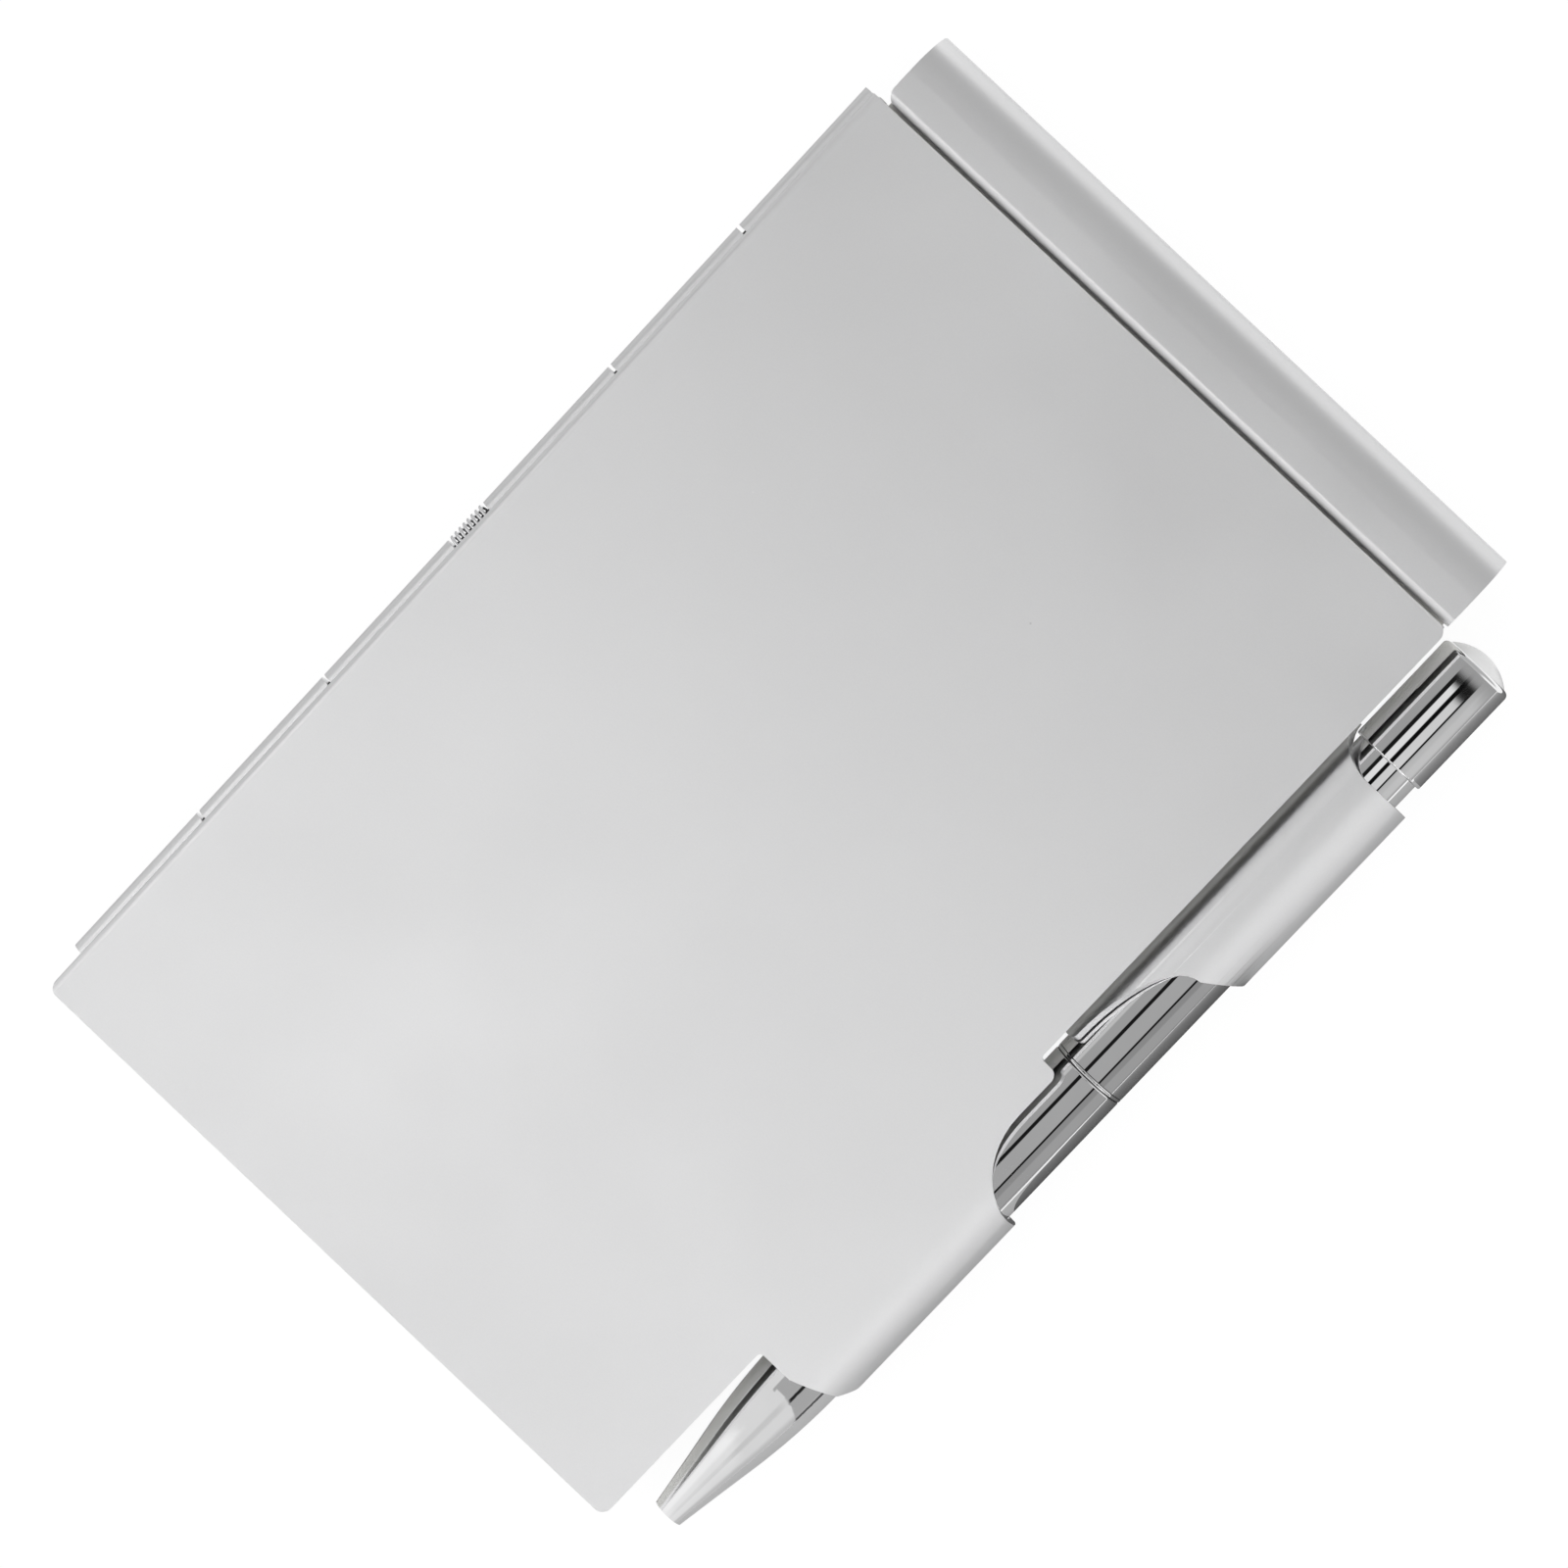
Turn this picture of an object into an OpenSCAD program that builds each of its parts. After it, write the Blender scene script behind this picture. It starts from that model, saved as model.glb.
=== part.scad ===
// Pocket notepad holder. Two sheet metal covers hinge on one long side. The back cover's rolled bar
// holds a memo pad by its bound end, and a push-cap pen runs through one tube of each cover.
// X runs from the hinge to the pen, Y towards the bar and Z up, out of the back cover.
// The origin is under the middle of the closed holder. Lengths "down" are measured from the front
// cover's top edge towards its bottom edge. All sizes are in millimetres.

/* [Sheet metal] */
// Thickness of the sheet of both covers
sheet_t = 0.8; // [0.6:0.05:1]
// Inside radius of the bends
bend_in = 0.2; // [0.1:0.05:0.5]
// Corner radius of the covers seen from above
corner_r = 1.2; // [0.6:0.1:3]
// Radius of the small inside corners of the covers
inner_corner_r = 0.5; // [0.3:0.1:0.8]

/* [Covers] */
// Width of the flat covers, from the hinge side to the pen side
cover_w = 78; // [70:1:95]
// Length of the front cover, from its top edge to its bottom edge
cover_l = 123.2; // [115:0.2:145]

/* [Bar] */
// How far the bar's outer edge lies beyond the front cover's top edge
bar_reach = 9.1; // [8:0.1:12]
// Gap between the front cover's top edge and the bar
bar_gap = 0.3; // [0.2:0.1:1]
// How far the bar starts inside the hinge side
bar_left = 1.2; // [0.8:0.1:3]
// How far the bar ends inside the pen side
bar_right = 0.3; // [0:0.1:2]
// Radius of the bar's free corner on the hinge side
bar_corner_r = 1.5; // [0.5:0.1:2.5]
// Height of the bar's turned-down lip
lip_drop = 1.9; // [1.4:0.1:2.6]

/* [Hinge] */
// Radius of the hinge pin
pin_r = 0.6; // [0.5:0.05:0.8]
// Radial clearance of the pin in the knuckles
pin_clear = 0.02; // [0.01:0.01:0.08]
// Gap between the two covers' walls, closed and laid back to back
wall_gap = 0.2; // [0.1:0.05:0.4]
// Knuckles of each cover
knuckles_each = 3; // [2:1:4]
// Gap between neighbouring knuckles
knuckle_gap = 0.4; // [0.2:0.1:0.8]
// Clearance between a knuckle and the other cover's wall
knuckle_relief = 0.2; // [0.1:0.05:0.5]
// How far the hinge ends above the covers' bottom edge
hinge_setback = 4.1; // [2:0.1:12]

/* [Hinge spring] */
// Gap in the middle of the hinge that shows the spring
spring_gap = 5.3; // [5.3:0.1:8]
// Curls of the hinge spring
spring_curls = 8; // [4:1:8]
// Wire diameter of the hinge spring
spring_wire = 0.2; // [0.12:0.01:0.2]
// How far the spring stands out beyond the knuckles
spring_proud = 0.1; // [0:0.05:0.2]
// Clearance at the spring's two ends and at the tips of its legs
spring_end_clear = 0.07; // [0.05:0.01:0.1]
// How far each leg of the spring ends before the cover's flat
leg_short = 0.3; // [0.2:0.1:1]

/* [Upper pen tube, on the back cover] */
// Distance down to the tube's rim, over the pen
rim_down = 16.3; // [15:0.1:25]
// How much higher the rim ends beside the covers
rim_rise = 3.8; // [1:0.1:6]
// Width of the rim's curved stretch
rim_run = 4.8; // [3:0.1:6]
// Distance down to the notch's edge, at the outside of the tube
notch_down = 39.6; // [32:0.1:42]
// How much further down the notch's edge lies at its knee
knee_drop = 2.5; // [0.5:0.1:4]
// How far the knee lies outside the pen's axis
knee_out = 1.45; // [0.5:0.05:3]
// Distance down to the round end of the tail beside the covers
tail_down = 55.2; // [52:0.1:57]
// Width of the tail beyond the covers' edge
tail_w = 1.1; // [0.8:0.05:1.5]
// Radius of the tail's end
tail_r = 0.7; // [0.3:0.1:0.8]
// Angle from the top of the tube down to its free edge beside the covers
free_angle = 85; // [80:1:86]

/* [Lower pen hook, on the front cover] */
// Distance down to the hook's upper edge
hook_down = 58.6; // [58:0.1:64]
// How far the hook's straight edge lies beyond the covers' edge
hook_step = 2.4; // [1.5:0.1:3.5]
// Corner radius of the step at the hook's upper edge
step_r = 1; // [0.4:0.1:1.4]
// Distance down to the start of the hook's finger notch
finger_down = 64.3; // [62:0.1:68]
// Length of the hook's finger notch
finger_l = 8.9; // [4:0.1:12]
// Distance down to the hook's lower end
hook_end = 99.8; // [92:0.1:105]
// How much the lower end draws back to the side of the pen
hook_slant = 1.8; // [0:0.1:4]
// How much the lower end draws back at its outermost edge
hook_round = 1.7; // [0.5:0.1:3]
// Width of the drawn back outermost edge
hook_round_w = 1.2; // [0.6:0.1:3]
// How far the lower end's level stretch ends before the pen's axis
hook_level = 0.8; // [0:0.1:2]
// Angle by which the hook reaches below the pen's axis
hook_wrap = 12; // [0:1:15]

/* [Pad] */
// Clearance beside the pad and at its bound end
pad_side = 0.35; // [0.2:0.05:1]
// Clearance under the pad
pad_under = 0.2; // [0.1:0.05:0.5]
// Clearance between the pad and the bar's lip
pad_top = 0.3; // [0.2:0.05:1]
// How far the pad's loose end lies inside the covers' bottom edge
pad_setback = 1.1; // [0.5:0.1:10]
// Thickness of the pad's grey board
board_t = 0.6; // [0.4:0.1:1.5]
// Thickness of the binding tape
tape_t = 0.2; // [0.1:0.05:0.3]
// Width of the tape's flaps
tape_w = 11; // [8:0.5:20]

/* [Pen outside] */
// Outside radius of the pen
pen_r = 4.2; // [4:0.05:4.6]
// Clearance between the pen and its tubes
pen_clear = 0.2; // [0.15:0.05:0.5]
// Gap between the covers' edge and the pen
pen_gap = 0.65; // [0.5:0.05:1.5]
// Distance down to the cap's upper end
cap_down = 0.4; // [0:0.1:3]
// Length of the cap
cap_l = 13; // [12:0.1:14]
// How far the crown's dome stands above the cap
dome_h = 1.4; // [0.8:0.1:2]
// Rounding of the cap's shoulder round the crown
cap_round = 0.6; // [0.4:0.05:0.8]
// Travel of the cap when it is pressed
press_travel = 3; // [2:0.1:3.2]
// Space left between the pressed cap and the barrel's shoulder
press_stop = 0.2; // [0.1:0.05:0.5]
// Distance down to the joint of the two barrels
joint_down = 56.5; // [50:0.1:66]
// Length of the ring between the barrels
ring_l = 0.5; // [0.5:0.1:2]
// Distance down to the end of the nose
nose_down = 119.4; // [117:0.1:125]
// Length of the tapered nose
nose_l = 21.4; // [16:0.1:26]
// Outside radius at the end of the nose
nose_end_r = 1.8; // [1.6:0.02:2.2]
// Fullness of the nose, where a plain cone has 1
nose_bulge = 1.4; // [1.2:0.05:1.8]
// Rounding of the cap's lower edge, of the ring's edges and of the barrels' upper edges
edge_r = 0.2; // [0.1:0.05:0.3]

/* [Pen inside] */
// Wall of the cap
cap_wall = 0.38; // [0.3:0.02:0.5]
// Width of the cap's end that the crown lies on
crown_seat = 0.5; // [0.3:0.05:0.8]
// Radial clearance of the sliding cap on the neck
slide_clear = 0.06; // [0.02:0.01:0.1]
// Radial clearance of pieces that are fixed in each other
fix_clear = 0.02; // [0.01:0.01:0.05]
// Wall of the neck
neck_wall = 0.56; // [0.4:0.02:0.6]
// Length of the neck inside the upper barrel
neck_seat = 9; // [7:0.5:12]
// Length of the coupling inside the upper barrel
coupling_seat = 8; // [5:0.5:12]
// Length of the coupling's thread inside the lower barrel
thread_l = 7; // [4:0.5:12]
// Step from the coupling down to its thread
thread_step = 0.3; // [0.2:0.05:0.4]
// Depth of the crown's spigot in the cap
spigot_l = 2.6; // [2:0.1:3]
// Radius of the rods of the click mechanism
rod_r = 1.9; // [1.7:0.05:2]
// Thickness of the click sleeve's wall
sleeve_wall = 0.43; // [0.3:0.01:0.5]
// Running clearance inside the click mechanism
click_clear = 0.1; // [0.06:0.01:0.15]
// Gap between the neck's upper end and the click sleeve
sleeve_gap = 0.4; // [0.2:0.1:1]
// Length of the click sleeve
sleeve_l = 15; // [13:0.5:16]
// Distance down to the plunger's lower end
plunger_end = 14; // [13:0.1:14.4]
// Length of the cam
cam_l = 5.7; // [5:0.1:6]
// Length of the cam's stem in the refill tube
cam_stem_l = 2; // [1:0.5:4]
// Length of the fins on the plunger and the cam
fin_l = 3.5; // [2:0.1:4]
// Width of the fins on the plunger and the cam
fin_w = 1.2; // [0.8:0.1:1.4]
// Width of the ribs inside the sleeve
rib_w = 1; // [0.6:0.1:1.2]
// Height of the cam's teeth
tooth_h = 0.9; // [0.5:0.1:1.2]
// Outside radius of the refill tube
refill_r = 1.5; // [1.4:0.05:1.6]
// Inside radius of the refill tube
refill_bore = 1.15; // [1:0.05:1.2]
// Clearance of the refill in the coupling
refill_clear = 0.15; // [0.1:0.05:0.3]
// How far the retracted ball lies inside the nose
retract = 1; // [0.6:0.1:1.6]
// Radius of the writing ball
ball_r = 0.35; // [0.3:0.05:0.4]
// How far the tip's rim reaches beyond the middle of the ball
rim_hold = 0.1; // [0.05:0.01:0.15]
// Width of the tip's rim round the ball
rim_w = 0.12; // [0.08:0.01:0.2]
// Length of the tip's cone
cone_l = 2.6; // [1.5:0.1:4]
// Length of the tip's stem in the refill tube
tip_stem_l = 3; // [2:0.5:6]
// Distance from the ball to the collar on the tip
collar_back = 16.8; // [15:0.1:18]
// Length of the collar
collar_l = 0.6; // [0.4:0.1:1.2]
// How far the collar stands out beyond the return spring
collar_rim = 0.1; // [0.05:0.01:0.2]
// Clearance of the tip in the hole at the end of the nose
tip_clear = 0.1; // [0.05:0.01:0.15]
// Radius of the hole at the end of the nose
nose_bore = 1.25; // [1.2:0.01:1.3]
// Length of the hole at the end of the nose
nose_bore_l = 6.4; // [5:0.1:7]
// Clearance of the collar in the barrel
collar_clear = 0.25; // [0.15:0.05:0.35]
// How far above the nose the barrel's bore starts to narrow
narrow_up = 2; // [1:0.5:6]
// Length over which the barrel's bore narrows
narrow_l = 4; // [2:0.5:5]
// Curls of the return spring
return_curls = 9; // [6:1:12]
// Wire diameter of the return spring
return_wire = 0.35; // [0.25:0.05:0.4]
// Mean radius of the return spring
return_r = 1.6; // [1.55:0.01:1.65]
// Clearance at each end of the return spring
return_end_clear = 0.1; // [0.05:0.01:0.2]

/* [Hidden] */

// Facets of round surfaces, and of the long arcs of the nose and the dome
$fn = 96;
arc_fn = 360;
// Surplus length of cutting bodies
over = 1;

// Heights: the case is as high as a pen tube
tube_r = pen_r + pen_clear + sheet_t;
case_h = 2 * tube_r;
mid = case_h / 2;
bend_out = bend_in + sheet_t;

// Hinge: the pin lies just outside the walls, so that the covers can lie back to back
pin_x = -wall_gap / 2;
bore_r = pin_r + pin_clear;
knuckle_r = bore_r + sheet_t;
hinge_l = cover_l - hinge_setback;
knuckle_n = 2 * knuckles_each;
knuckle_l = (hinge_l - spring_gap - (knuckle_n - 2) * knuckle_gap) / knuckle_n;
spring_down = knuckles_each * knuckle_l + (knuckles_each - 1) * knuckle_gap;
spring_r = knuckle_r + spring_proud - spring_wire / 2;
spring_pitch = (spring_gap - 2 * spring_end_clear - spring_wire) / spring_curls;

// Pen and tubes
pen_x = cover_w + pen_gap + pen_r;
tube_out = pen_x + tube_r;
tube_in = pen_x - tube_r;
hook_x = cover_w + hook_step;
free_x = pen_x - tube_r * sin(free_angle);

// Bar
bar_y = bar_reach - tube_r;
lip_z = case_h - lip_drop;

// Pad: as wide as fits between the knuckles and the tube, with its bound end inside the bar
pad_x = pin_x + knuckle_r + spring_proud + pad_side;
pad_w = tube_in - pad_side - pad_x;
pad_z = sheet_t + pad_under;
pad_h = lip_z - pad_top - pad_z;
pad_y1 = bar_y + sqrt(pow(tube_r - sheet_t, 2) - pow(mid - pad_z, 2)) - pad_side;
pad_y0 = -cover_l + pad_setback;
pad_l = pad_y1 - pad_y0;

// Pen: distances down along its axis
cap_end = cap_down + cap_l;
shoulder = cap_end + press_travel + press_stop;
spigot_end = cap_down + spigot_l;
neck_top = spigot_end + press_travel + press_stop;
crown_r = pen_r - cap_round;
mouth_r = crown_r - crown_seat;
cap_bore = pen_r - cap_wall;
neck_r = cap_bore - slide_clear;
neck_bore = neck_r - neck_wall;
barrel_bore = neck_r + fix_clear;
ring_end = joint_down + ring_l;
thread_r = neck_r - thread_step;
thread_bore = thread_r + fix_clear;

// Click mechanism: the plunger hangs from the crown, the cam stands on the refill
sleeve_r = neck_bore - fix_clear;
sleeve_bore = sleeve_r - sleeve_wall;
sleeve_top = neck_top + sleeve_gap;
cam_top = plunger_end + 3 * click_clear;
cam_end = cam_top + cam_l;
fin_r = sleeve_bore - click_clear;

// Refill and return spring
ball_down = nose_down - retract - ball_r;
collar_down = ball_down - collar_back;
collar_r = return_r + return_wire / 2 + collar_rim;
tip_r = nose_bore - tip_clear;
coupling_bore = refill_r + refill_clear;
spring_bore = collar_r + collar_clear;
seat_down = nose_down - nose_bore_l;
return_l = seat_down - collar_down - collar_l - 2 * return_end_clear;
return_pitch = (return_l - return_wire) / return_curls;

// Nose: an arc that leaves the barrel smoothly and a cone that touches it. The arc's circle runs on
// inside both.
nose_a = atan(nose_bulge * (pen_r - nose_end_r) / nose_l);
nose_arc = (nose_bulge - 1) * (pen_r - nose_end_r) / (1 / cos(nose_a) - 1);
nose_start = nose_down - nose_l;
arc_l = nose_arc * sin(nose_a);
arc_end_r = pen_r - nose_arc * (1 - cos(nose_a));

// Middle of the closed holder
x_min = pin_x - knuckle_r - spring_proud;
y_min = min(-cover_l, -nose_down);
centre = [(x_min + tube_out) / 2, (y_min + bar_reach) / 2, 0];

// Distance down to a knuckle's upper end, counted from 0
function knuckle_down(k) =
    k * (knuckle_l + knuckle_gap) + (k >= knuckles_each ? spring_gap - knuckle_gap : 0);

// Points of an elliptic arc, from angle a0 to angle a1
function arc_points(c, rx, ry, a0, a1, steps = 12) =
    [for (i = [0:steps]) let (a = a0 + (a1 - a0) * i / steps) c + [rx * cos(a), ry * sin(a)]];

// Path of a spring round the Z axis: a straight run in, whole curls downwards and a straight run out.
// Each entry holds the point, the direction away from the axis and the direction of the wire.
CURL_RINGS = 8;
WIRE_SIDES = 6;
function spring_path(r, pitch, curls, run_in, run_out) =
    let (n = curls * CURL_RINGS, rise = pitch / (2 * PI * r))
    concat(
        [[[r, run_in, 0], [1, 0, 0], [0, -1, 0]]],
        [for (i = [0:n]) let (a = -360 * i / CURL_RINGS, d = [sin(a), -cos(a), rise])
            [[r * cos(a), r * sin(a), pitch * i / CURL_RINGS], [cos(a), sin(a), 0], d / norm(d)]],
        [[[r, -run_out, pitch * curls], [1, 0, 0], [0, -1, 0]]]);

// Least gap between neighbouring curls, measured between the points of the path
function least_gap(path, wire) =
    min([for (i = [0:len(path) - 1], j = [i + CURL_RINGS / 2:1:len(path) - 1])
        norm(path[i][0] - path[j][0])]) - wire;

// Wire of WIRE_SIDES sides along a path, as one closed body
module wire_body(path, wire) {
    s = WIRE_SIDES;
    last = len(path) - 1;
    points = [for (p = path) let (side = cross(p[2], p[1])) for (k = [0:s - 1])
        p[0] + wire / 2 * (cos(360 * k / s) * p[1] + sin(360 * k / s) * side)];
    sides = [for (i = [0:last - 1], k = [0:s - 1]) let (a = i * s + k, b = i * s + (k + 1) % s)
        each [[a, a + s, b], [b, a + s, b + s]]];
    ends = [for (k = [1:s - 2]) each [[0, k, k + 1], [last * s, last * s + k + 1, last * s + k]]];
    polyhedron(points = points, faces = concat(sides, ends), convexity = 10);
}

// Puts a piece built from the front cover's top left corner into the holder's own frame
module place() translate(-centre) children();

// Runs a profile in X and Z along Y, from y1 down by l
module along_y(y1, l) translate([0, y1, 0]) rotate([90, 0, 0]) linear_extrude(l) children();

// Runs a profile in Y and Z along X, from x0 by l
module along_x(x0, l) translate([x0, 0, 0]) rotate([90, 0, 90]) linear_extrude(l) children();

// Stands a plan outline up through the whole case
module through() translate([0, 0, -over]) linear_extrude(case_h + 2 * over) children();

// Puts a piece turned on the Z axis onto the pen's axis, with Z as the distance down
module on_pen() place() translate([pen_x, 0, mid]) rotate([90, 0, 0]) children();

// Turns a profile of radius and distance down about the pen's axis
module turned() on_pen() rotate_extrude() children();

// Band between two distances down and two radii
module band(r0, r1, d0, d1) translate([r0, d0]) square([r1 - r0, d1 - d0]);

// Part of a ring between two angles
module ring_part(r_out, r_in, a0, a1) {
    steps = ceil((a1 - a0) / 45);
    intersection() {
        difference() {
            circle(r_out);
            circle(r_in);
        }
        polygon(concat([[0, 0]], arc_points([0, 0], 2 * r_out, 2 * r_out, a0, a1, steps)));
    }
}

// Cuts an outside corner round. The corner is at p and the material lies towards dir.
module corner_cut(p, dir, r) {
    translate(p) scale([dir.x, dir.y]) difference() {
        translate([-over, -over]) square(r + over);
        translate([r, r]) circle(r);
    }
}

// Fills an inside corner round. The corner is at p and the free space lies towards dir.
module corner_fill(p, dir, r) {
    translate(p) scale([dir.x, dir.y]) difference() {
        square(r);
        translate([r, r]) circle(r);
    }
}

// Section of the back cover's flat, bend and wall. The front cover's is its mirror image.
module leaf_section() {
    translate([bend_out, 0]) square([cover_w - bend_out, sheet_t]);
    translate([bend_out, bend_out]) ring_part(bend_out, bend_in, 180, 270);
    translate([0, bend_out]) square([sheet_t, mid - wall_gap / 2 - bend_out]);
}

// Plan outline of a cover's flat, from top above the front cover's top edge
module leaf_outline(top, round_top) {
    difference() {
        translate([0, -cover_l]) square([cover_w, cover_l + top]);
        corner_cut([0, -cover_l], [1, 1], corner_r);
        corner_cut([cover_w, -cover_l], [-1, 1], corner_r);
        if (round_top) corner_cut([cover_w, top], [-1, -1], corner_r);
    }
}

// Rolled knuckle number k, solid until the bore is cut
module knuckle(k) {
    along_y(-knuckle_down(k), knuckle_l) translate([pin_x, mid]) circle(knuckle_r);
}

// Space for the other cover's knuckles and the spring, cut out of a wall
module wall_notches(first) {
    h = 2 * (knuckle_r + knuckle_relief);
    for (k = [first:2:knuckle_n - 1]) {
        y1 = -knuckle_down(k) + knuckle_gap;
        translate([-over, y1 - knuckle_l - 2 * knuckle_gap, mid - h / 2])
            cube([sheet_t + 2 * over, knuckle_l + 2 * knuckle_gap, h]);
    }
    translate([-over, -spring_down - spring_gap, mid - h / 2])
        cube([sheet_t + 2 * over, spring_gap, h]);
}

module pin_bore() along_y(over, cover_l + 2 * over) translate([pin_x, mid]) circle(bore_r);

// Plan outline of the front cover's pen hook
module hook_outline() {
    far = tube_out + over;
    difference() {
        polygon(concat(
            [[cover_w - over, -hook_down], [hook_x, -hook_down]],
            arc_points([tube_out, -finger_down], tube_out - hook_x, -finger_l, 180, 90),
            [[far, -finger_down - finger_l], [far, -hook_end + hook_slant + hook_round],
             [tube_out, -hook_end + hook_slant + hook_round],
             [tube_out - hook_round_w, -hook_end + hook_slant], [pen_x - hook_level, -hook_end],
             [cover_w - over, -hook_end]]));
        corner_cut([hook_x, -hook_down], [-1, -1], step_r);
    }
    corner_fill([cover_w, -hook_down], [1, 1], inner_corner_r);
    corner_fill([cover_w, -hook_end], [1, -1], inner_corner_r);
}

// Outline of the back cover's pen tube as it is seen from above, on the outside of the tube: the rim,
// the notch up to its knee, the arc down to the tail and the tail's round end
function tube_points() =
    let (reach = tube_r * sin(free_angle), tail_x = cover_w + tail_w, knee_angle = asin(knee_out / tube_r),
         knee = [pen_x + knee_out, -notch_down - knee_drop], slope = knee_drop / (reach - knee_out),
         arc_drop = tail_down - tail_r - notch_down - knee_drop, steps = 8)
    concat(
        arc_points([free_x + rim_run, -rim_down + rim_rise], rim_run, -rim_rise, 180, 90),
        [[pen_x + reach, -rim_down]],
        [for (i = [0:steps - 1]) let (out = tube_r * sin(free_angle + (knee_angle - free_angle) * i / steps))
            [pen_x + out, knee.y + slope * (out - knee_out)]],
        arc_points([knee.x, knee.y - arc_drop], knee.x - tail_x, arc_drop, 90, 180),
        arc_points([tail_x - tail_r, -tail_down + tail_r], tail_r, tail_r, -10, -90, steps),
        [[free_x, -tail_down]]);

// Space inside an outline on the upper pen tube, cut towards the pen's axis, because the sheet is cut flat
// before it is rolled
module cut_to_axis(points) {
    high = tube_r + over;
    low = pen_r * cos(free_angle) / 2;
    translate([pen_x, 0, mid + low]) linear_extrude(high - low, scale = [high / low, 1], slices = 10)
        polygon([for (p = points) [low * tan(asin((p.x - pen_x) / tube_r)), p.y]]);
}

// Plan outline of the stretch of flat sheet that carries the upper pen tube
module tube_root() {
    translate([cover_w - over, -notch_down]) square([tube_out - cover_w + 2 * over, notch_down - rim_down]);
    corner_fill([cover_w, -rim_down], [1, 1], inner_corner_r);
    corner_fill([cover_w, -notch_down], [1, -1], inner_corner_r);
}

// Upper pen tube: the sheet runs on under the pen, round its outside and back over it to the free edge
module upper_tube() {
    side = 90 - free_angle;
    intersection() {
        along_y(0, cover_l) {
            translate([cover_w - over, 0]) square([pen_x - cover_w + over, sheet_t]);
            translate([pen_x, mid]) ring_part(tube_r, tube_r - sheet_t, -90, side + 1);
        }
        through() tube_root();
    }
    intersection() {
        along_y(0, cover_l) translate([pen_x, mid]) ring_part(tube_r, tube_r - sheet_t, side, 180 - side);
        cut_to_axis(tube_points());
    }
}

module front_cover() color("Silver") place() {
    difference() {
        union() {
            intersection() {
                along_y(0, cover_l) translate([0, case_h]) mirror([0, 1]) leaf_section();
                through() leaf_outline(0, true);
            }
            intersection() {
                along_y(0, cover_l) {
                    translate([cover_w - over, case_h - sheet_t])
                        square([pen_x - cover_w + over, sheet_t]);
                    translate([pen_x, mid]) ring_part(tube_r, tube_r - sheet_t, -hook_wrap, 90);
                }
                through() hook_outline();
            }
            for (k = [0:2:knuckle_n - 1]) knuckle(k);
        }
        wall_notches(1);
        pin_bore();
    }
}

// Section of the bar: a half round of the case's height, a flat top and a turned-down lip
module bar_section() {
    translate([-over, 0]) square([bar_y + over, sheet_t]);
    translate([bar_y, mid]) ring_part(tube_r, tube_r - sheet_t, -90, 90);
    translate([bar_gap + bend_out, case_h - sheet_t]) square([bar_y - bar_gap - bend_out, sheet_t]);
    translate([bar_gap + bend_out, case_h - bend_out]) ring_part(bend_out, bend_in, 90, 180);
    translate([bar_gap, lip_z]) square([sheet_t, case_h - bend_out - lip_z]);
}

module bar() {
    difference() {
        along_x(bar_left, cover_w - bar_left - bar_right) bar_section();
        translate([0, 0, mid]) linear_extrude(case_h)
            corner_cut([bar_left, bar_gap], [1, 1], bar_corner_r);
    }
}

module back_cover() color("LightSteelBlue") place() {
    difference() {
        union() {
            intersection() {
                along_y(bar_gap, cover_l + bar_gap) leaf_section();
                through() leaf_outline(bar_gap, false);
            }
            upper_tube();
            bar();
            for (k = [1:2:knuckle_n - 1]) knuckle(k);
        }
        wall_notches(0);
        pin_bore();
    }
}

module hinge_pin() color("DimGray") place() along_y(0, hinge_l) translate([pin_x, mid]) circle(pin_r);

// One wire: a leg down from the front cover, the curls round the pin and a leg down to the back cover
module hinge_spring() {
    leg = mid - sheet_t - leg_short;
    path = spring_path(spring_r, spring_pitch, spring_curls, leg, leg);
    echo(hinge_spring_least_gap = least_gap(path, spring_wire));
    color("Gainsboro") place()
        translate([pin_x, -spring_down - spring_end_clear - spring_wire / 2, mid])
            rotate([90, 0, 0]) wire_body(path, spring_wire);
}

module pad_backing() color("DarkGray") place()
    translate([pad_x, pad_y0, pad_z + tape_t]) cube([pad_w, pad_l - tape_t, board_t]);

module pad_sheets() color("White") place()
    translate([pad_x, pad_y0, pad_z + tape_t + board_t])
        cube([pad_w, pad_l - tape_t, pad_h - 2 * tape_t - board_t]);

// Tape folded over the bound end
module pad_binding() color("SlateGray") place() {
    difference() {
        translate([pad_x, pad_y1 - tape_w, pad_z]) cube([pad_w, tape_w, pad_h]);
        translate([pad_x - over, pad_y1 - tape_w - over, pad_z + tape_t])
            cube([pad_w + 2 * over, tape_w + over - tape_t, pad_h - 2 * tape_t]);
    }
}

// Profile of a tube on the outside of the pen, with its upper edge rounded
module barrel_profile(r_in, d0, d1) {
    difference() {
        band(r_in, pen_r, d0, d1);
        corner_cut([pen_r, d0], [-1, 1], edge_r);
    }
}

// Cap drawn from sheet: its end turns in round the shoulder and leaves a mouth for the crown
module pen_cap() color("WhiteSmoke") turned() {
    end_inside = cap_down + cap_wall;
    difference() {
        band(mouth_r, pen_r, cap_down, cap_end);
        corner_cut([pen_r, cap_down], [-1, 1], cap_round);
        corner_cut([pen_r, cap_end], [-1, -1], edge_r);
        difference() {
            band(0, cap_bore, end_inside, cap_end + over);
            corner_cut([cap_bore, end_inside], [-1, 1], max(cap_round - cap_wall, fix_clear));
        }
    }
}

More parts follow.
